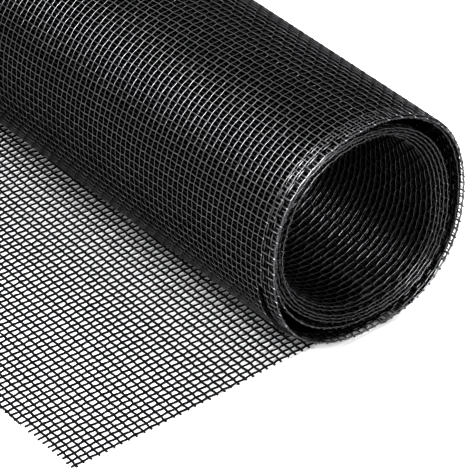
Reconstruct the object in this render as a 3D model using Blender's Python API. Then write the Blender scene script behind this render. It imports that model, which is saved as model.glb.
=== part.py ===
"""A roll of black window insect net, with one loose end lying flat.

The net is one cut length of openwork cloth. Its loose end lies on the surface, runs in under
the roll, and winds up the right side, over the top and down the left side. The two outer
turns lie loose around the inner turns, so a crescent stays open at the right and bottom. The
inner turns are wound close and leave an open bore. Single yarns and single turns are much
finer than this solid, which has the wound form, the crescent, the bore and the flat end.

Metres, +Z up. The roll's axis runs along Y, its open end that shows faces -Y, and the loose
end points to -X. The origin is under the middle of the whole thing, on the surface.
"""
import math

import bmesh
import bpy
from mathutils import Vector

MM = 0.001

# Driving sizes
OVERALL_LENGTH = 200.0 * MM    # along the roll's axis, over the turns' stepped ends
CLOTH_WIDTH = 196.6 * MM       # the net itself, from cut edge to cut edge
AXIS_HEIGHT = 24.4 * MM        # the roll's middle over the surface
LOOSE_REACH = 67.0 * MM        # from the roll's middle to the loose end's cut edge
LOOSE_THICKNESS = 1.0 * MM     # the loose end as a solid sheet
ARC_STEP = 5.0                 # degrees between the points of a section

# The roll's section: radius from its middle in mm, by the direction looked at from the
# open end. A row is one face of the wound form, a column is one direction.
DIRECTIONS = ("bottom", "low_right", "right", "high_right", "top", "high_left", "left", "low_left")
SECTION = {
    "outside":      (24.8, 25.3, 23.7, 23.8, 23.9, 25.1, 23.9, 25.0),
    "rim_inside":   (22.9, 23.9, 22.4, 22.5, 22.6, 23.8, 22.6, 23.3),
    "pack_outside": (21.0, 22.2, 19.9, 20.1, 21.9, 24.1, 22.9, 20.8),
    "bore":         (17.6, 18.6, 16.9, 17.1, 18.9, 20.4, 19.2, 17.4),
}
# The turns were not wound quite edge on edge: how far, in mm, each face's front edge stands
# back from the foremost one, in the same directions.
SET_BACK = {
    "outside":      (3.0, 1.6, 1.5, 1.0, 0.4, 1.1, 3.1, 3.4),
    "rim_inside":   (0.4, 0.0, 0.0, 0.0, 0.0, 0.0, 0.0, 0.2),
    "pack_outside": (0.6, 0.8, 1.0, 0.7, 0.5, 0.3, 0.3, 0.6),
    "bore":         (2.6, 2.6, 2.6, 2.6, 2.6, 2.6, 2.6, 2.6),
}
LOOSE_SET_BACK = 3.0           # mm, the loose end's front edge

NET_BLACK = (0.018, 0.019, 0.021, 1.0)
NET_ROUGHNESS = 0.42


def around(row, degrees):
    """A row's value in a direction, on a smooth closed curve through its columns."""
    count = len(DIRECTIONS)
    place = (degrees % 360.0) / 360.0 * count
    start = int(place) % count
    t = place - int(place)
    before, here, after, beyond = (row[(start + k) % count] for k in (-1, 0, 1, 2))
    slope_here = (after - before) / 2
    slope_after = (beyond - here) / 2
    return ((2 * t**3 - 3 * t**2 + 1) * here + (t**3 - 2 * t**2 + t) * slope_here
            + (3 * t**2 - 2 * t**3) * after + (t**3 - t**2) * slope_after)


# The right side is the furthest reach that way, so it sets where the roll's middle lies
AXIS_X = (LOOSE_REACH - around(SECTION["outside"], 90.0) * MM) / 2
FRONT_Y = -OVERALL_LENGTH / 2


def section_point(face, degrees):
    """A point of one face of the roll, 0 degrees at the bottom and 90 at the right."""
    radius = around(SECTION[face], degrees) * MM
    angle = math.radians(degrees)
    height = max(AXIS_HEIGHT - radius * math.cos(angle), 0.0)
    return AXIS_X + radius * math.sin(angle), height


def end_loop(shape, face, at_front):
    """One face's closed edge loop at the front or the back end of the roll."""
    corners = []
    for step in range(round(360.0 / ARC_STEP)):
        degrees = step * ARC_STEP
        x, z = section_point(face, degrees)
        front_edge = FRONT_Y + max(around(SET_BACK[face], degrees), 0.0) * MM
        corners.append(shape.verts.new((x, front_edge if at_front else front_edge + CLOTH_WIDTH, z)))
    return [shape.edges.new((corners[k - 1], corners[k])) for k in range(len(corners))]


def ring_wall(name, outer_face, inner_face):
    """A closed wall of wound turns between two faces, open through its middle."""
    shape = bmesh.new()
    loops = [end_loop(shape, face, at_front) for face, at_front in
             ((outer_face, True), (outer_face, False), (inner_face, False), (inner_face, True))]
    for k in range(len(loops)):
        bmesh.ops.bridge_loops(shape, edges=loops[k - 1] + loops[k])
    bmesh.ops.recalc_face_normals(shape, faces=shape.faces)
    return piece_from(shape, name)


def loose_end():
    """The length of net that lies flat, from its cut edge to under the roll's middle."""
    low = Vector((AXIS_X - LOOSE_REACH, FRONT_Y + LOOSE_SET_BACK * MM, 0.0))
    high = Vector((AXIS_X, low.y + CLOTH_WIDTH, LOOSE_THICKNESS))
    shape = bmesh.new()
    bmesh.ops.create_cube(shape, size=1.0)
    bmesh.ops.scale(shape, vec=high - low, verts=shape.verts)
    bmesh.ops.translate(shape, vec=(low + high) / 2, verts=shape.verts)
    return piece_from(shape, "loose_end")


def piece_from(shape, name):
    """An object in the scene made of a finished bmesh."""
    mesh = bpy.data.meshes.new(name)
    shape.to_mesh(mesh)
    shape.free()
    piece = bpy.data.objects.new(name, mesh)
    bpy.context.scene.collection.objects.link(piece)
    return piece


def fuse(body, piece):
    """Joins a piece to the body for good, as one closed solid."""
    join = body.modifiers.new("join_" + piece.name, "BOOLEAN")
    join.operation = "UNION"
    join.solver = "EXACT"
    join.object = piece
    bpy.context.view_layer.update()
    graph = bpy.context.evaluated_depsgraph_get()
    joined = bpy.data.meshes.new_from_object(body.evaluated_get(graph))
    body.modifiers.clear()
    body.data = joined
    bpy.data.objects.remove(piece)


def net_material():
    """Black vinyl-coated glass yarn."""
    material = bpy.data.materials.new("black_coated_yarn")
    material.use_nodes = True
    shader = material.node_tree.nodes["Principled BSDF"]
    shader.inputs["Base Color"].default_value = NET_BLACK
    shader.inputs["Roughness"].default_value = NET_ROUGHNESS
    shader.inputs["Metallic"].default_value = 0.0
    material.diffuse_color = NET_BLACK
    return material


def build_net(parts):
    """The loose outer turns with the flat end, joined to the close inner turns."""
    net = ring_wall("net_roll", "outside", "rim_inside")
    fuse(net, loose_end())
    fuse(net, ring_wall("inner_turns", "pack_outside", "bore"))
    net.data.name = net.name
    net.data.materials.clear()
    net.data.materials.append(net_material())
    net.data.shade_smooth()
    net.data.set_sharp_from_angle(angle=math.radians(30.0))
    bpy.context.scene.collection.objects.unlink(net)
    parts.objects.link(net)


def main():
    for thing in list(bpy.data.objects):
        bpy.data.objects.remove(thing)
    parts = bpy.data.collections.new("window_insect_net_roll")
    bpy.context.scene.collection.children.link(parts)
    build_net(parts)


main()
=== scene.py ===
"""Roll of black window insect net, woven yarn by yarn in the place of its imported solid.

The file is laid out as a Blender add-on and is run as a script. Every place is in metres, in
the part's own frame: the roll's axis runs along Y, its open end that shows faces -Y, the
loose end points to -X, and the surface is at Z = 0.

Warps are the yarns that run along the cloth, from its cut end into the roll. Wefts run across
it, along the roll's axis.
"""
import math

import bpy
import numpy as np
from bpy.props import FloatProperty, FloatVectorProperty, IntProperty, PointerProperty
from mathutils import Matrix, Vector


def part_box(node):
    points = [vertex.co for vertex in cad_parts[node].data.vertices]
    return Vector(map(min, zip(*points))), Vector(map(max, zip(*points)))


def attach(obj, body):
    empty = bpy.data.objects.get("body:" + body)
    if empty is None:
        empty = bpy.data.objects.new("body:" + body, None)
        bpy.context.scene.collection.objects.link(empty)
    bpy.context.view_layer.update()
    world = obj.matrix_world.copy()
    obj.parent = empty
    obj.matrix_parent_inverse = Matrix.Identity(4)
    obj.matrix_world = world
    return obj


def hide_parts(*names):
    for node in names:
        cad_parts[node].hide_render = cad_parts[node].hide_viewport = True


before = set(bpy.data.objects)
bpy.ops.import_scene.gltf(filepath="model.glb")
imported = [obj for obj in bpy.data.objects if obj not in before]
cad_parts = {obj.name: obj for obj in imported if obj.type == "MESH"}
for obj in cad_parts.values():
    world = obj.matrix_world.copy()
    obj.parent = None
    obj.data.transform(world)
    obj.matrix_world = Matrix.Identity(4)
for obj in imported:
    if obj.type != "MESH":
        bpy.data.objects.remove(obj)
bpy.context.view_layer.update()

bl_info = {
    "name": "Insect net roll",
    "version": (1, 0, 0),
    "blender": (4, 5, 0),
    "location": "3D View > Sidebar > Insect net",
    "description": "Weaves a roll of black window insect net with one end lying flat",
    "category": "Object",
}

MM = 0.001
BODY = "root"
NODE = "net_roll"
SLOT = "black_coated_yarn"
SOLID_LOW = Vector(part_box(NODE)[0])

# The winding, seen from the open end. A row is a turn, from the outermost inwards, and starts
# at the bottom; a column is the direction in which its radius in mm holds. The turn runs
# from the bottom to the right, over the top and down the left side.
DIRECTIONS = ("bottom", "low_right", "right", "high_right", "top", "high_left", "left", "low_left")
TURN_RADIUS = (
    (24.15, 25.15, 23.45, 23.60, 23.70, 24.90, 23.70, 24.80),
    (23.60, 24.80, 23.10, 23.10, 23.20, 24.40, 23.10, 23.90),
    (23.30, 24.35, 22.70, 22.65, 22.80, 23.90, 22.60, 21.30),
    (20.80, 22.00, 19.70, 19.90, 21.40, 23.25, 22.05, 20.00),
    (20.20, 21.35, 19.05, 19.25, 20.75, 22.50, 21.30, 19.40),
    (19.60, 20.70, 18.40, 18.60, 20.10, 21.80, 20.65, 18.80),
    (19.00, 20.05, 17.75, 17.95, 19.70, 21.45, 20.10, 18.20),
    (18.40, 19.40, 17.10, 17.30, 19.30, 21.00, 19.50, 17.60),
    (17.80,),
)
# How far, in mm, the cloth's front cut edge stands back from the foremost one, by the same
# turns and directions
TURN_SET_BACK = (
    (3.65, 0.90, 0.40, 0.30, 0.40, 1.10, 3.10, 3.40),
    (0.60, 0.00, 0.00, 0.00, 0.00, 0.00, 0.00, 0.00),
    (0.00, 0.60, 0.90, 0.80, 0.50, 0.30, 0.40, 0.60),
    (0.60, 0.60, 0.60, 0.60, 0.45, 0.80, 1.30, 1.20),
    (0.90, 1.00, 1.00, 0.90, 0.60, 0.90, 1.40, 1.30),
    (1.10, 1.30, 1.40, 1.30, 0.50, 0.40, 0.40, 1.20),
    (1.40, 1.60, 1.80, 1.80, 1.80, 2.00, 2.20, 2.30),
    (2.30, 2.30, 2.30, 2.40, 2.50, 2.60, 2.60, 2.60),
    (2.70,),
)
# Where pieces of the cloth start and stop, in turns
OUTER_TURN_HALVES = (0.0, 0.5, 1.0)
SHEET_TURN = 1.05              # the thin sheet's start in the hidden turns
BORE_TURN = 7.02               # the first turn that shows in the bore
BORE_SPLIT_TURN = 7.58
INNER_END_TURN = 8.1

# Sidewise drift of the warps, in mm, by the turn at which it is reached. From the third turn
# on they also follow the cut edge.
WARP_DRIFT = ((0.0, 0.0), (0.2, -0.45), (1.0, -0.78))
FOLLOWING_TURN = 2.0

# Slow sidewise wander of the yarns
WARP_PERIOD = 45 * MM
WEFT_PERIOD = 60 * MM
WAVES = (1.0, 0.53, 0.29)      # the waves' periods over the longest one
NEIGHBOUR_DRIFT = 0.35         # spread of the waves' phases between neighbours, in radians
SHARED_SWAY = 0.55             # share of the waves
OWN_SWAY = 0.8                 # share of each yarn's own place

LIFT_SHARPNESS = 4             # power of the loose end's lift before the roll
EDGE_ROOM = 0.2 * MM           # least distance from a crossing to a cut edge

# Corners of a yarn's section, as angles from its side: with a crown for the wound turns, and
# level for the loose end
CROWNED = (0.0, 90.0, 180.0, 270.0)
LEVEL = (45.0, 135.0, 225.0, 315.0)
SWELL = 0.035                  # unevenness of a yarn's thickness, as a share
CROSSING_REACH = 0.23          # half of a yarn's level stretch over or under another, in pitches
TIP_SWING = 0.6                # how much of its last swing a cut tip keeps
FRAY = (0.8, 1.15)             # least and most of the way to the cut edge that a tip reaches
TIP_REACH = (0.12, 0.24)       # least and most that a wound turn's tip sticks out, in pitches
LAID_TIP_REACH = (0.12, 1.0)   # the same on the loose end, whose yarns all reach the straight cut
PATCH_REACH = 0.54             # the same where the next patch goes on, a little into it

# The hidden turns have yarns at their two ends, and a thin sheet between, painted with black shade in its
# openings
FAR_STRIP_WARPS = 2
# The near end: from turn, to turn, warps, and the yarns' section over that of a laid one
NEAR_STRIPS = ((1.0, 2.0, 3, 1.4), (2.0, 3.0, 10, 1.2), (3.0, BORE_TURN, 2, 1.0))
# From the cut edge to the sheet, in mm, by the turn
SHEET_INSET = ((1.08, 0.4), (1.15, 1.5), (1.24, 1.5), (1.34, 0.9), (1.5, 1.0), (1.6, 1.9))
SHEET_THICKNESS = 0.2 * MM
SHEET_STEP = 2.5 * MM          # between its points along the cloth
SHEET_SHARP_ANGLE = 40.0       # degrees
YARN_GRID = "weave"            # the sheet's UV map, in which a yarn lies at each whole number

# Unevenness of the coating: noise cells to a metre and their detail
PATCHES = (140.0, 3.0)
GRAINS = (2600.0, 2.0)
GRAIN_RELIEF = 0.03 * MM
PATCH_SHADE = 0.6              # how much the patches and the grains lighten the colour
GRAIN_SHADE = 0.4
WEAR_SPREAD = 1.6              # how much the patches change the roughness
WEAR_START = 0.3
YARN_EDGE = 8.0                # how sharply the sheet's drawn yarns end at their sides

# The lamps: the setting that holds the power, azimuth and elevation in degrees, width and
# height in metres, and whether shiny yarns mirror it
LAMPS = (
    ("side", 90.0, 50.0, 0.22, 0.85, True),
    ("front", 20.0, 38.0, 0.30, 0.30, True),
    ("right", -30.0, 45.0, 0.30, 0.30, True),
    ("back", 146.0, 40.0, 0.50, 0.50, True),
    ("far", -139.0, 33.0, 0.40, 0.40, True),
    ("floor", -90.0, 35.0, 0.40, 0.40, False),
)
LAMP_DISTANCE = 0.9            # from every lamp to the camera's aim
WHITE = (1.0, 1.0, 1.0, 1.0)
BLACK = (0.0, 0.0, 0.0)


def length_property(name, description, default):
    """A size in metres."""
    return FloatProperty(name=name, description=description, default=default, precision=5, unit="LENGTH")


def power_property(name, description, default):
    """A lamp's power in watts."""
    return FloatProperty(name=name, description=description, default=default, precision=2, unit="POWER")


def angle_property(name, description, degrees):
    """An angle, kept in radians."""
    return FloatProperty(name=name, description=description, default=math.radians(degrees), subtype="ANGLE")


def share_property(name, description, default):
    """A plain number."""
    return FloatProperty(name=name, description=description, default=default, precision=3)


def colour_property(name, description, default):
    """A linear colour."""
    return FloatVectorProperty(name=name, description=description, default=default, size=3,
                               subtype="COLOR", min=0.0, max=1.0)


class InsectNetWeave(bpy.types.PropertyGroup):
    """Sizes of the cloth and of its yarns."""
    cloth_width: length_property("Cloth width", "From cut edge to cut edge", 196.6 * MM)
    loose_reach: length_property("Loose reach", "From the roll's middle to the cut end", 67.0 * MM)
    axis_height: length_property("Axis height", "The roll's middle over the surface", 24.4 * MM)
    lie: length_property("Lie", "Middle of the loose end's cloth over the surface", 0.23 * MM)
    lift: length_property("Lift", "How much higher the loose end lies just before the roll", 0.6 * MM)
    lift_place: length_property("Place of the lift", "From the roll's middle to the lift's top", 16.0 * MM)
    warp_pitch: length_property("Warp pitch", "Between yarns that run along the cloth", 1.448 * MM)
    weft_pitch: length_property("Weft pitch", "Between yarns that run across the cloth", 1.699 * MM)
    warp_width: length_property("Warp width", "Width of a laid warp", 0.29 * MM)
    weft_width: length_property("Weft width", "Width of a laid weft", 0.32 * MM)
    yarn_height: length_property("Yarn height", "Thickness of a laid yarn", 0.26 * MM)
    wound_share: share_property("Wound share", "Section of a wound yarn over that of a laid one", 0.78)
    crimp: length_property("Crimp", "How far a yarn swings to either side of the cloth", 0.07 * MM)
    trim: length_property("Trim", "How much shorter the weft tips are than the solid", 0.1 * MM)
    first_warp: length_property("First warp", "From the foremost edge to the first warp", 1.38 * MM)
    first_weft: length_property("First weft", "From the cut end to the first weft", 0.79 * MM)
    slant_loose: share_property("Slant of the loose end", "Lean of the wefts to the axis", 0.054)
    slant_wound: share_property("Slant of the roll", "Lean of the wefts on the roll", 0.042)
    warp_wander: length_property("Warp wander", "Unevenness of the warps' places", 0.045 * MM)
    weft_wander: length_property("Weft wander", "Unevenness of the wefts' places", 0.07 * MM)
    seed: IntProperty(name="Seed", description="Start of the unevenness", default=7, min=0)


class InsectNetFinish(bpy.types.PropertyGroup):
    """Colours and gloss of the coated yarn."""
    # Painted shade: the loose end's yarns are a darker, duller copy of the same yarn as the wound ones
    laid_shaded_deep: colour_property("Laid, deep", "Loose end's yarns, darker parts", (0.0008, 0.0008, 0.0014))
    laid_shaded_worn: colour_property("Laid, worn", "Loose end's yarns, lighter parts", (0.002, 0.0021, 0.003))
    laid_shine: share_property("Laid, shine", "Mirror light of the loose end's yarns", 0.07)
    laid_refraction: share_property("Laid, refraction", "Refractive index of the loose end's yarns", 1.62)
    wound_deep: colour_property("Wound, deep", "Wound yarns, duller parts", (0.094, 0.094, 0.098))
    wound_worn: colour_property("Wound, worn", "Wound yarns, brighter parts", (0.126, 0.126, 0.13))
    wound_edge: colour_property("Wound, edge", "Glancing light kept by wound yarns", (0.3, 0.3, 0.3))
    # Painted shade: the dim colour of yarns that lie under other turns, on the hidden sheet
    stacked_shade: colour_property("Stacked", "Yarns between turns that lie on each other", (0.03, 0.03, 0.032))
    gloss: share_property("Smooth roughness", "Roughness of the glossiest coating", 0.33)
    matt: share_property("Rough roughness", "Roughness of the most matt coating", 0.44)


class InsectNetStage(bpy.types.PropertyGroup):
    """Floor, light and camera."""
    floor_size: length_property("Floor size", "Side of the square floor", 4.0)
    floor_colour: colour_property("Floor colour", "Plain pale floor", (0.3, 0.3, 0.3))
    floor_roughness: share_property("Floor roughness", "Matt floor", 0.9)
    sky: share_property("Sky", "Strength of the even light from all round", 0.3)
    side: power_property("Side light", "Tall light beside the loose end", 42.0)
    front: power_property("Front light", "Light that shines into the bore", 23.0)
    right: power_property("Right light", "Light in front on the right", 4.0)
    back: power_property("Back light", "Light behind the loose end", 4.0)
    far: power_property("Far light", "Light behind the roll on the right", 2.5)
    floor: power_property("Floor light", "Light on the floor at the roll's right", 30.0)
    contrast: share_property("Contrast", "Gamma of the picture, under 1 for deeper blacks", 0.75)
    aim: FloatVectorProperty(name="Aim", description="Point of the surface at the picture's middle",
                             default=(22.4 * MM, -58.8 * MM, 0.0), subtype="TRANSLATION", unit="LENGTH")
    azimuth: angle_property("Azimuth", "Camera's turn, 0 looks along +Y", 39.05)
    elevation: angle_property("Elevation", "Camera's height as an angle", 35.89)
    distance: length_property("Distance", "From the camera to its aim", 667.2 * MM)
    field: angle_property("Field of view", "Angle across the square picture", 7.91)


def smooth_row(knots, place):
    """Values between evenly spaced knots, on a smooth curve through them."""
    knots = np.asarray(knots, float)
    place = np.clip(np.asarray(place, float), 0.0, len(knots) - 1.0)
    start = np.clip(np.floor(place).astype(int), 0, len(knots) - 2)
    t = place - start
    before, here, after, beyond = (knots[np.clip(start + k, 0, len(knots) - 1)] for k in (-1, 0, 1, 2))
    slope_here = (after - before) / 2
    slope_after = (beyond - here) / 2
    return ((2 * t**3 - 3 * t**2 + 1) * here + (t**3 - 2 * t**2 + t) * slope_here
            + (3 * t**2 - 2 * t**3) * after + (t**3 - t**2) * slope_after)


def by_turn(table, turn):
    """A table's value, in metres, where the cloth has come that many turns round."""
    knots = [value for row in table for value in row]
    return smooth_row(knots, np.asarray(turn) * len(DIRECTIONS)) * MM


def by_knots(knots, turn):
    """The same for a table of turns and values, on straight lines between them."""
    return np.interp(turn, *zip(*knots)) * MM


class Winding:
    """The line in which the cloth runs, from its cut end to its inner end."""

    STEP = 0.25 * MM
    SMOOTHING = 9

    def __init__(self, weave):
        self.axis_x = SOLID_LOW.x + weave.loose_reach
        self.front_y = SOLID_LOW.y
        loose = np.arange(0.0, weave.loose_reach, self.STEP)
        turn = np.arange(0.0, INNER_END_TURN, self.STEP / (math.tau * weave.axis_height))
        radius = by_turn(TURN_RADIUS, turn)
        around_x = self.axis_x + radius * np.sin(math.tau * turn)
        around_z = np.maximum(weave.axis_height - radius * np.cos(math.tau * turn), weave.lie)
        self.x = np.concatenate([self.axis_x - weave.loose_reach + loose, around_x])
        to_roll = (weave.loose_reach - loose) / weave.lift_place
        lift = weave.lift * (to_roll * np.exp(1.0 - to_roll)) ** LIFT_SHARPNESS
        self.z = np.concatenate([weave.lie + lift, around_z])
        self.turn = np.concatenate([(loose - weave.loose_reach) / weave.loose_reach, turn])
        steps = np.hypot(np.diff(self.x), np.diff(self.z))
        self.run = np.concatenate([[0.0], np.cumsum(steps)])
        heading = np.unwrap(np.arctan2(np.gradient(self.z, self.run), np.gradient(self.x, self.run)))
        padded = np.pad(heading, self.SMOOTHING // 2, mode="edge")
        self.heading = np.convolve(padded, np.full(self.SMOOTHING, 1 / self.SMOOTHING), mode="valid")
        self.length = self.run[-1]

    def turn_at(self, run):
        """How many turns round the cloth has come at a run; below 0 on the loose end."""
        return np.interp(run, self.run, self.turn)

    def run_at(self, turn):
        """The run at which the cloth has come that many turns round."""
        return float(np.interp(turn, self.turn, self.run))

    def place(self, run, y, height):
        """Points at a run along the cloth and a place across it, and the cloth's tangent and
        normal there. The normal is up on the loose end and points inwards on the roll."""
        heading = np.interp(run, self.run, self.heading)
        zero = np.zeros_like(heading)
        tangent = np.stack([np.cos(heading), zero, np.sin(heading)], -1)
        normal = np.stack([-np.sin(heading), zero, np.cos(heading)], -1)
        point = np.stack([np.interp(run, self.run, self.x), y, np.interp(run, self.run, self.z)], -1)
        return point + normal * np.asarray(height)[..., None], tangent, normal


def wander(rng, along, count, size, period):
    """Slow sidewise wander of neighbouring yarns, one row for each yarn."""
    drift = np.cumsum(rng.normal(0.0, NEIGHBOUR_DRIFT, (len(WAVES), count)), axis=1)[:, :, None]
    waves = sum(np.sin(math.tau * along / (period * share) + drift[k]) for k, share in enumerate(WAVES))
    own_place = rng.normal(0.0, 1.0, count)[:, None]
    return size * (SHARED_SWAY * waves + OWN_SWAY * own_place)


class Net:
    """The cloth's lattice: where each warp meets each weft, and the cut edges. Its rows are
    warps, its columns are wefts, and the first of each lies outside the cloth."""

    def __init__(self, weave):
        self.weave = weave
        self.winding = Winding(weave)
        self.rng = np.random.default_rng(weave.seed)
        slack = weave.slant_loose * weave.cloth_width
        first_weft = -math.ceil(slack / weave.weft_pitch)
        self.wefts = math.ceil(self.winding.length / weave.weft_pitch) - first_weft + 1
        self.warps = math.ceil(weave.cloth_width / weave.warp_pitch) + 2
        warp = np.arange(-1, self.warps - 1)[:, None]
        weft = np.arange(first_weft, first_weft + self.wefts)[None, :]
        across = warp * weave.warp_pitch
        self.run = self.weft_runs(across, weft)
        turn = self.winding.turn_at(self.run)
        set_back = by_turn(TURN_SET_BACK, turn)
        drift = by_knots(WARP_DRIFT, turn) + np.where(turn > FOLLOWING_TURN, set_back, 0.0)
        self.y = self.winding.front_y + weave.first_warp + across + drift
        self.y += wander(self.rng, self.run, self.warps, weave.warp_wander, WARP_PERIOD)
        self.front = self.winding.front_y + set_back + weave.trim
        self.back = self.front + weave.cloth_width - 2 * weave.trim
        self.here = ((self.y > self.front + EDGE_ROOM) & (self.y < self.back - EDGE_ROOM)
                     & (self.run > EDGE_ROOM) & (self.run < self.winding.length - EDGE_ROOM))
        self.over = np.where((warp + weft) % 2 == 0, 1.0, -1.0)

    def weft_runs(self, across, weft):
        """The run of every weft at every warp. Wefts lean more on the loose end."""
        weave = self.weave
        loose_share = np.clip(1.0 - weft * weave.weft_pitch / (2 * weave.loose_reach), 0.0, 1.0)
        slant = weave.slant_wound + (weave.slant_loose - weave.slant_wound) * loose_share
        run = weave.first_weft + weft * weave.weft_pitch + slant * across
        return run + wander(self.rng, across.T, self.wefts, weave.weft_wander, WEFT_PERIOD).T

    def weft_near(self, turn):
        """The column of the first weft past that many turns, along the first warp."""
        return int(np.searchsorted(self.run[1], self.winding.run_at(turn)))

    def wefts_between(self, turns):
        """First column, and the one after the last, for each stretch between given turns."""
        starts = [self.weft_near(turn) for turn in turns]
        return list(zip(starts[:-1], starts[1:]))


def runs_of(flags):
    """First and last index of each unbroken stretch."""
    edges = np.diff(np.concatenate([[0], flags.astype(int), [0]]))
    return zip(np.flatnonzero(edges == 1), np.flatnonzero(edges == -1) - 1)


class YarnMesh:
    """Gathers yarns as closed tubes and makes them one object. The ridge tells which way the
    section's crown points: 1 along the cloth's normal, -1 against it."""

    def __init__(self, net, ridge=1.0, section=CROWNED, share=1.0, tip_reach=TIP_REACH):
        self.net = net
        self.ridge = ridge
        self.tip_reach = tip_reach
        corners = np.radians(section)
        self.warp_width = net.weave.warp_width * share
        self.weft_width = net.weave.weft_width * share
        self.yarn_height = net.weave.yarn_height * share
        self.section = np.stack([np.cos(corners) / np.ptp(np.cos(corners)),
                                 np.sin(corners) / np.ptp(np.sin(corners))])
        self.points, self.quads, self.caps = [], [], []
        self.count = 0

    def add(self, centre, side, up, width):
        """One yarn through its ring centres."""
        swell = self.net.rng.normal(1.0, SWELL, len(centre))[:, None, None]
        swell[[0, -1]] = 1.0
        to_side, to_crown = (reach[None, :, None] * swell for reach in self.section)
        rings = (centre[:, None] + side[:, None] * to_side * width
                 + up[:, None] * to_crown * self.yarn_height)
        sides = self.section.shape[1]
        index = self.count + np.arange(len(centre) * sides).reshape(-1, sides)
        turned = np.roll(index, -1, axis=1)
        self.quads.append(np.stack([index[:-1], turned[:-1], turned[1:], index[1:]], -1).reshape(-1, 4))
        self.caps.append(index[0, ::-1])
        self.caps.append(index[-1])
        self.points.append(rings.reshape(-1, 3))
        self.count += rings.shape[0] * sides

    def ends(self, here, stretch, patch, room, pitch):
        """Where an unbroken stretch starts and stops, in pitches, and whether the cloth goes on
        there in the next patch. Elsewhere a cut tip sticks out towards the cut edge."""
        first, last = stretch
        goes_on = (first == patch[0] and here[first - 1],
                   last == patch[1] and last + 1 < len(here) and here[last + 1])
        frayed = self.net.rng.uniform(*FRAY, len(room))
        tips = np.clip(np.array(room) / pitch * frayed, *self.tip_reach)
        before, after = (PATCH_REACH if more else tip for more, tip in zip(goes_on, tips))
        return (first - before, last + after), goes_on

    def rings(self, stretch, ends, over, goes_on):
        """Ring places of a stretch, in pitches, and their heights over the cloth's middle."""
        first, last = stretch
        level = (-CROSSING_REACH, CROSSING_REACH)
        places = np.add.outer(np.arange(first, last + 1), level).ravel()
        heights = np.repeat(over[first:last + 1], len(level))
        tips = [0.0 if more else over[k] * TIP_SWING for k, more in zip(stretch, goes_on)]
        return (np.concatenate([[ends[0]], places, [ends[1]]]),
                np.concatenate([[tips[0]], heights, [tips[1]]]) * self.net.weave.crimp)

    def add_warp(self, i, wefts):
        """A warp's stretches between two columns of wefts."""
        net = self.net
        nodes = np.arange(net.wefts)
        for start, stop in runs_of(net.here[i, wefts[0]:wefts[1]]):
            first, last = start + wefts[0], stop + wefts[0]
            room = (net.run[i, first], net.winding.length - net.run[i, last])
            ends, goes_on = self.ends(net.here[i], (first, last), (wefts[0], wefts[1] - 1), room,
                                      net.weave.weft_pitch)
            places, height = self.rings((first, last), ends, net.over[i], goes_on)
            run = np.maximum(np.interp(places, nodes, net.run[i]), 0.0)
            point, tangent, normal = net.winding.place(run, np.interp(places, nodes, net.y[i]), height)
            up = normal * self.ridge
            self.add(point, np.cross(up, tangent), up, self.warp_width)

    def add_weft(self, j, warps):
        """A weft's stretches between the first and the last of some warps."""
        net = self.net
        nodes = np.arange(net.warps)
        for start, stop in runs_of(net.here[warps[0]:warps[-1] + 1, j]):
            first, last = start + warps[0], stop + warps[0]
            room = (net.y[first, j] - net.front[first, j], net.back[last, j] - net.y[last, j])
            ends, goes_on = self.ends(net.here[:, j], (first, last), (warps[0], warps[-1]), room,
                                      net.weave.warp_pitch)
            places, height = self.rings((first, last), ends, -net.over[:, j], goes_on)
            run = np.interp(places, nodes, net.run[:, j])
            point, _, normal = net.winding.place(run, np.interp(places, nodes, net.y[:, j]), height)
            up = normal * self.ridge
            self.add(point, np.cross(up, (0.0, 1.0, 0.0)), up, self.weft_width)

    def weave(self, warps, wefts):
        """All yarns of a patch."""
        for i in warps:
            self.add_warp(i, wefts)
        for j in range(*wefts):
            self.add_weft(j, warps)

    def pressed_area(self, warps, wefts):
        """Area of a patch's yarns if each were pressed flat, which is half of its skin."""
        weave = self.net.weave
        girths = []
        for width in (self.warp_width, self.weft_width):
            corners = self.section * [[width], [self.yarn_height]]
            girths.append(np.hypot(*(corners - np.roll(corners, 1, axis=1))).sum())
        crossings = np.count_nonzero(self.net.here[warps[0]:warps[-1] + 1, wefts[0]:wefts[1]])
        return crossings * (weave.weft_pitch * girths[0] + weave.warp_pitch * girths[1]) / 2

    def finish(self, name, material):
        """The gathered yarns as one object, smooth along them and flat at their cut ends."""
        mesh = bpy.data.meshes.new(name)
        quads = np.concatenate(self.quads)
        caps = np.array(self.caps)
        corners = np.concatenate([quads.ravel(), caps.ravel()])
        sizes = np.concatenate([np.full(len(quads), 4), np.full(len(caps), caps.shape[1])])
        smooth = np.concatenate([np.ones(len(quads), bool), np.zeros(len(caps), bool)])
        points = np.concatenate(self.points)
        mesh.vertices.add(len(points))
        mesh.vertices.foreach_set("co", points.ravel())
        mesh.loops.add(len(corners))
        mesh.loops.foreach_set("vertex_index", corners)
        mesh.polygons.add(len(sizes))
        mesh.polygons.foreach_set("loop_start", np.concatenate([[0], np.cumsum(sizes)[:-1]]))
        mesh.polygons.foreach_set("use_smooth", smooth)
        mesh.update(calc_edges=True)
        mesh.validate()
        return piece_from(mesh, name, material)


def piece_from(mesh, name, material):
    """An object in the scene made of a finished mesh."""
    mesh.materials.append(material)
    piece = bpy.data.objects.new(name, mesh)
    bpy.context.scene.collection.objects.link(piece)
    return piece


def woven_strip(name, net, warps, wefts, share):
    """A strip of the weave at a cut edge of the hidden turns."""
    yarns = YarnMesh(net, share=share)
    yarns.weave(warps, wefts)
    return yarns.finish(name, coated_yarn(laid=False))


def woven_piece(name, net, wefts, yarns, laid=False):
    """A patch of the weave as wide as the cloth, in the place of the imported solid."""
    warps = range(1, net.warps - 1)
    yarns.weave(warps, wefts)
    piece = yarns.finish(name, coated_yarn(laid))
    seat(piece, net, wefts, area=yarns.pressed_area(warps, wefts))


def wound_yarns(net, ridge=1.0):
    """Yarns of the turns that show: the crown points into the bore, or out for a ridge of -1."""
    return YarnMesh(net, ridge=ridge, share=net.weave.wound_share)


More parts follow.
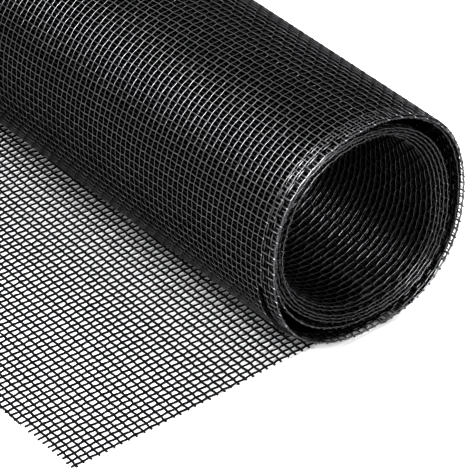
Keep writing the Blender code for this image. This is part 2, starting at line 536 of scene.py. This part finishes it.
def length_of(net, wefts):
    """Length of cloth from one weft to another, along the middle warp."""
    middle = net.warps // 2
    here = np.flatnonzero(net.here[middle, wefts[0]:wefts[1]]) + wefts[0]
    return float(net.run[middle, here[-1]] - net.run[middle, here[0]]) + net.weave.weft_pitch


def seat(piece, net, wefts, area=None):
    """Fixes a piece to the part's body in the place of its plain solid, and hides that solid.
    The area of an openwork piece's yarns is not used."""
    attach(piece, BODY)
    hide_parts(NODE)
    length_of(net, wefts)


def hidden_sheet(net, turns):
    """The middle of the wound turns between two others, as one thin closed spiral sheet, whose material
    paints black shade between its yarns.
    """
    weave = net.weave
    run = np.arange(*(net.winding.run_at(turn) for turn in turns), SHEET_STEP)
    turn = net.winding.turn_at(run)
    set_back = by_turn(TURN_SET_BACK, turn)
    inset = by_knots(SHEET_INSET, turn)
    near = net.winding.front_y + set_back + inset
    far = near + weave.cloth_width - 2 * inset
    rings = []
    for y, side in ((near, -0.5), (far, -0.5), (far, 0.5), (near, 0.5)):
        point, _, _ = net.winding.place(run, y, np.full(len(run), side * SHEET_THICKNESS))
        rings.append(point)
    loops = np.stack(rings, 1)
    index = np.arange(loops.shape[0] * 4).reshape(-1, 4)
    turned = np.roll(index, -1, axis=1)
    faces = np.stack([index[:-1], turned[:-1], turned[1:], index[1:]], -1).reshape(-1, 4)
    faces = [*faces.tolist(), index[0, ::-1].tolist(), index[-1].tolist()]
    mesh = bpy.data.meshes.new("hidden_middle")
    mesh.from_pydata(loops.reshape(-1, 3).tolist(), [], faces)
    mesh.shade_smooth()
    mesh.set_sharp_from_angle(angle=math.radians(SHEET_SHARP_ANGLE))
    across = [y - net.winding.front_y - weave.first_warp - set_back for y in (near, far, far, near)]
    lay_grid(mesh, weave, run, across)
    return piece_from(mesh, "hidden_middle", hidden_weave())


def lay_grid(mesh, weave, run, across):
    """Gives the sheet a UV map that counts the warps across the cloth and the wefts along it."""
    places = np.stack([np.stack([way / weave.warp_pitch,
                                 (run - weave.first_weft - weave.slant_wound * way) / weave.weft_pitch], -1)
                       for way in across], 1).reshape(-1, 2)
    corner = np.empty(len(mesh.loops), int)
    mesh.loops.foreach_get("vertex_index", corner)
    mesh.uv_layers.new(name=YARN_GRID).data.foreach_set("uv", places[corner].ravel())


def joined(name, pieces):
    """Several objects as one."""
    with bpy.context.temp_override(active_object=pieces[0], selected_editable_objects=pieces):
        bpy.ops.object.join()
    pieces[0].name = pieces[0].data.name = name
    return pieces[0]


class Value:
    """A shader socket that takes part in sums, so that maths reads as maths."""

    def __init__(self, finish, socket):
        self.finish = finish
        self.socket = socket

    def join(self, operation, *others):
        return self.finish.node("ShaderNodeMath", {"operation": operation}, [self, *others])

    def __add__(self, other):
        return self.join("ADD", other)

    __radd__ = __add__

    def __sub__(self, other):
        return self.join("SUBTRACT", other)

    def __rsub__(self, other):
        return self.finish.node("ShaderNodeMath", {"operation": "SUBTRACT"}, [other, self])

    def __mul__(self, other):
        return self.join("MULTIPLY", other)

    __rmul__ = __mul__

    def fraction(self):
        return self.join("FRACT")

    def at_most(self, limit):
        return self.join("MINIMUM", limit)

    def at_least(self, limit):
        return self.join("MAXIMUM", limit)

    def beside(self, output):
        """Another output of the same node."""
        return Value(self.finish, self.socket.node.outputs[output])


class Finish:
    """One material's nodes, added by type, settings and sockets."""

    def __init__(self, name, roughness):
        self.material = bpy.data.materials.new(name)
        self.material.use_nodes = True
        self.tree = self.material.node_tree
        self.shader = self.tree.nodes["Principled BSDF"]
        self.shader.inputs["Roughness"].default_value = roughness

    def node(self, kind, settings=None, sockets=(), output=0):
        """Adds a node; sockets are a list in order or a dictionary by name or number."""
        made = self.tree.nodes.new(kind)
        for name, value in (settings or {}).items():
            setattr(made, name, value)
        pairs = sockets.items() if isinstance(sockets, dict) else enumerate(sockets)
        for name, value in pairs:
            self.feed(made.inputs[name], value)
        return Value(self, made.outputs[output])

    def feed(self, socket, value):
        """Links a socket to a value that varies, or sets it to one that doesn't."""
        if isinstance(value, Value):
            self.tree.links.new(value.socket, socket)
        else:
            socket.default_value = value

    def place(self):
        return self.node("ShaderNodeTexCoord", output="Object")

    def noise(self, scale, detail, where):
        return self.node("ShaderNodeTexNoise", {}, {"Vector": where, "Scale": scale, "Detail": detail},
                         output="Fac")

    def between(self, low, high, share):
        """A colour on the way from one to another. A mix node's colour sockets are 6 and 7, and
        its colour output is 2."""
        return self.node("ShaderNodeMix", {"data_type": "RGBA"},
                         {0: share, 6: (*low, 1.0), 7: (*high, 1.0)}, output=2)

    def relief(self, height, distance):
        return self.node("ShaderNodeBump", {}, {"Height": height, "Distance": distance}, output="Normal")

    def surface(self, **inputs):
        """Feeds the shader's own sockets by their names, and gives the finished material."""
        for name, value in inputs.items():
            self.feed(self.shader.inputs[name.replace("_", " ").title().replace("Ior", "IOR")], value)
        return self.material


def coated_yarn(laid):
    """Black vinyl-coated glass yarn, a little uneven in gloss and shade. The loose end's yarns are a
    darker, duller copy of the same yarn: painted shade in place of the highlights that they would show. The
    wound ones mirror more light and are shaded as a dark metal, because only that lets their glancing light
    be turned down."""
    name = SLOT + ("_laid" if laid else "_wound")
    made = bpy.data.materials.get(name)
    if made:
        return made
    looks = bpy.context.scene.insect_net_finish
    finish = Finish(name, looks.gloss)
    where = finish.place()
    patches = finish.noise(*PATCHES, where)
    grain = finish.noise(*GRAINS, where)
    # Painted shade: the loose end gets a darker, duller copy of the same yarn
    if laid:
        shades = (looks.laid_shaded_deep, looks.laid_shaded_worn)
        mirror = {"specular_ior_level": looks.laid_shine, "ior": looks.laid_refraction}
    else:
        shades = (looks.wound_deep, looks.wound_worn)
        mirror = {"metallic": 1.0, "specular_tint": (*looks.wound_edge, 1.0)}
    shade = (patches * PATCH_SHADE + grain * GRAIN_SHADE).at_most(1.0)
    wear = (patches * WEAR_SPREAD - WEAR_START).at_least(0.0).at_most(1.0)
    return finish.surface(base_color=finish.between(*shades, shade),
                          roughness=wear * (looks.matt - looks.gloss) + looks.gloss,
                          normal=finish.relief(grain, GRAIN_RELIEF), **mirror)


def yarn_crown(way, pitch, width):
    """Height of the yarns that lie at the whole numbers of a grid: 1 on the crown, 0 between."""
    from_middle = ((way + 0.5).fraction() - 0.5) * (2.0 * pitch / width)
    return (1.0 - from_middle * from_middle).at_least(0.0)


def hidden_weave():
    """The same net where turns lie on each other: yarn ridges over black openings. The black openings are
    painted shade of the deeper turns, and the ridges' dim colour is painted shade from the turns above.
    """
    looks = bpy.context.scene.insect_net_finish
    weave = bpy.context.scene.insect_net_weave
    finish = Finish(SLOT + "_stacked", looks.matt)
    grid = finish.node("ShaderNodeUVMap", {"uv_map": YARN_GRID})
    across = finish.node("ShaderNodeSeparateXYZ", {}, [grid])
    warp_crown = yarn_crown(across, weave.warp_pitch, weave.warp_width)
    weft_crown = yarn_crown(across.beside("Y"), weave.weft_pitch, weave.weft_width)
    crown = warp_crown.at_least(weft_crown)
    yarn = (crown * YARN_EDGE).at_most(1.0)
    # Painted shade: black in the openings, and a dim copy of the yarn's colour on the ridges
    return finish.surface(base_color=finish.between(BLACK, looks.stacked_shade, yarn), metallic=yarn,
                          normal=finish.relief(crown, weave.yarn_height / 2),
                          specular_ior_level=0.0, specular_tint=(*BLACK, 1.0))


def new_net(context):
    """The lattice that every operator weaves on, the same each time."""
    return Net(context.scene.insect_net_weave)


class INSECTNET_OT_loose_end(bpy.types.Operator):
    """Weaves the length of net that lies flat on the surface."""
    bl_idname = "insect_net.loose_end"
    bl_label = "Loose end"

    def execute(self, context):
        net = new_net(context)
        yarns = YarnMesh(net, section=LEVEL, tip_reach=LAID_TIP_REACH)
        woven_piece("loose_end", net, (1, net.weft_near(0.0)), yarns, laid=True)
        return {"FINISHED"}


class INSECTNET_OT_outer_turns(bpy.types.Operator):
    """Weaves the outermost turn around the roll, in two halves."""
    bl_idname = "insect_net.outer_turns"
    bl_label = "Outer turns"

    def execute(self, context):
        net = new_net(context)
        right, left = net.wefts_between(OUTER_TURN_HALVES)
        woven_piece("outer_turn_right", net, right, wound_yarns(net, ridge=-1.0))
        woven_piece("outer_turn_left", net, left, wound_yarns(net, ridge=-1.0))
        return {"FINISHED"}


class INSECTNET_OT_hidden_turns(bpy.types.Operator):
    """Makes the turns that lie between others: woven at both ends, a thin sheet between."""
    bl_idname = "insect_net.hidden_turns"
    bl_label = "Hidden turns"

    def execute(self, context):
        net = new_net(context)
        wefts = (net.weft_near(1.0), net.weft_near(BORE_TURN))
        pieces = []
        for start, stop, warps, share in NEAR_STRIPS:
            stretch = (net.weft_near(start), net.weft_near(stop))
            pieces.append(woven_strip("near_edge", net, range(1, 1 + warps), stretch, share))
        last = net.warps - 1
        pieces.append(woven_strip("far_edge", net, range(last - FAR_STRIP_WARPS, last), wefts, 1.0))
        pieces.append(hidden_sheet(net, (SHEET_TURN, BORE_TURN)))
        seat(joined("hidden_turns", pieces), net, wefts)
        return {"FINISHED"}


class INSECTNET_OT_bore_turns(bpy.types.Operator):
    """Weaves the innermost turn, which shows inside the roll's open bore, in two parts."""
    bl_idname = "insect_net.bore_turns"
    bl_label = "Bore turns"

    def execute(self, context):
        net = new_net(context)
        start, split = (net.weft_near(turn) for turn in (BORE_TURN, BORE_SPLIT_TURN))
        woven_piece("bore_turn_lower", net, (start, split), wound_yarns(net))
        woven_piece("bore_turn_upper", net, (split, net.wefts - 1), wound_yarns(net))
        return {"FINISHED"}


class INSECTNET_OT_stage(bpy.types.Operator):
    """Sets the pale floor, the soft lights and the camera."""
    bl_idname = "insect_net.stage"
    bl_label = "Floor, light and camera"

    def execute(self, context):
        scene = context.scene
        stage = scene.insect_net_stage
        pale_floor(stage)
        even_sky(scene, stage.sky)
        for name, azimuth, elevation, width, height, mirrored in LAMPS:
            lamp = soft_light(name + "_light", (width, height), getattr(stage, name))
            set_before(lamp, stage.aim, math.radians(azimuth), math.radians(elevation), LAMP_DISTANCE)
            lamp.visible_glossy = mirrored
        scene.camera = photo_camera(stage)
        scene.view_settings.view_transform = "Standard"
        scene.view_settings.gamma = stage.contrast
        return {"FINISHED"}


def pale_floor(stage):
    """A plain square floor at the surface."""
    bpy.ops.mesh.primitive_plane_add(size=stage.floor_size, location=(0.0, 0.0, 0.0))
    floor = bpy.context.object
    floor.name = "floor"
    finish = Finish("pale_floor", stage.floor_roughness)
    pale = finish.surface(base_color=(*stage.floor_colour, 1.0), specular_ior_level=0.0)
    floor.data.materials.append(pale)


def even_sky(scene, strength):
    """Even light from all round, which the yarns don't mirror."""
    world = bpy.data.worlds.new("even_sky")
    world.use_nodes = True
    background = world.node_tree.nodes["Background"]
    background.inputs["Color"].default_value = WHITE
    background.inputs["Strength"].default_value = strength
    world.cycles_visibility.glossy = False
    scene.world = world


def set_before(thing, aim, azimuth, elevation, distance):
    """Puts a lamp or a camera before the part and turns it to an aim; azimuth 0 looks along +Y."""
    away = Vector((-math.sin(azimuth) * math.cos(elevation), -math.cos(azimuth) * math.cos(elevation),
                   math.sin(elevation)))
    thing.location = Vector(aim) + away * distance
    thing.rotation_euler = away.to_track_quat("Z", "Y").to_euler()
    bpy.context.scene.collection.objects.link(thing)


def soft_light(name, sides, power):
    """A soft light of a given width and height."""
    data = bpy.data.lights.new(name, "AREA")
    data.shape = "RECTANGLE"
    data.size, data.size_y = sides
    data.energy = power
    return bpy.data.objects.new(name, data)


def photo_camera(stage):
    """The camera at the photo's angle."""
    data = bpy.data.cameras.new("camera")
    data.sensor_fit = "HORIZONTAL"
    data.angle = stage.field
    data.clip_start = 0.01
    camera = bpy.data.objects.new("camera", data)
    set_before(camera, stage.aim, stage.azimuth, stage.elevation, stage.distance)
    return camera


class INSECTNET_PT_panel(bpy.types.Panel):
    """Lists the steps that make the roll of net, and its settings."""
    bl_idname = "INSECTNET_PT_panel"
    bl_label = "Insect net"
    bl_space_type = "VIEW_3D"
    bl_region_type = "UI"
    bl_category = "Insect net"

    def draw(self, context):
        for operator in OPERATORS:
            self.layout.operator(operator.bl_idname)
        for group in SETTINGS:
            box = self.layout.box()
            values = getattr(context.scene, group)
            for name in values.__annotations__:
                box.prop(values, name)


OPERATORS = (INSECTNET_OT_loose_end, INSECTNET_OT_outer_turns, INSECTNET_OT_hidden_turns,
             INSECTNET_OT_bore_turns, INSECTNET_OT_stage)
SETTINGS = {
    "insect_net_weave": InsectNetWeave,
    "insect_net_finish": InsectNetFinish,
    "insect_net_stage": InsectNetStage,
}


def register():
    for group in (*SETTINGS.values(), *OPERATORS, INSECTNET_PT_panel):
        bpy.utils.register_class(group)
    for name, group in SETTINGS.items():
        setattr(bpy.types.Scene, name, PointerProperty(type=group))


def unregister():
    for name in SETTINGS:
        delattr(bpy.types.Scene, name)
    for group in reversed((*SETTINGS.values(), *OPERATORS, INSECTNET_PT_panel)):
        bpy.utils.unregister_class(group)


def main():
    register()
    bpy.ops.insect_net.loose_end()
    bpy.ops.insect_net.outer_turns()
    bpy.ops.insect_net.hidden_turns()
    bpy.ops.insect_net.bore_turns()
    bpy.ops.insect_net.stage()


if __name__ == "__main__":
    main()
